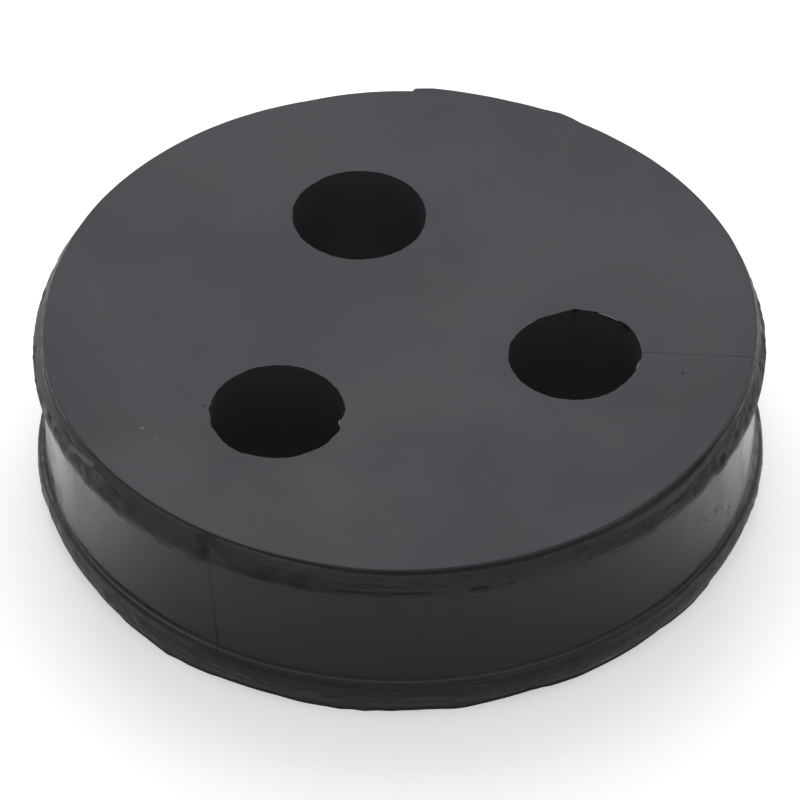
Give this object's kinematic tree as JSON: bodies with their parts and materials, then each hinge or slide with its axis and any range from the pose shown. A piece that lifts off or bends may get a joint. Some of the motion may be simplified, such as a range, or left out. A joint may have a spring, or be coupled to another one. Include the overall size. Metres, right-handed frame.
{
  "type": "rubber cable entry insert",
  "caption": "Thick round rubber disc with a lip round each face, round cable holes and a slit from each hole to the rim, for sealing cables in a round entry port.",
  "frame": {"origin": "middle of the underside, on the disc's axis", "axes": "+Z along the disc's axis, up through the cable holes; +X towards the side that the right-hand hole is on"},
  "size_m": [0.1016, 0.1016, 0.0268],
  "materials": {
    "black_rubber": "dull moulded skin with a faint bloom"
  },
  "bodies": {
    "root": {"rubber_insert": "black_rubber"}
  },
  "joints": []
}
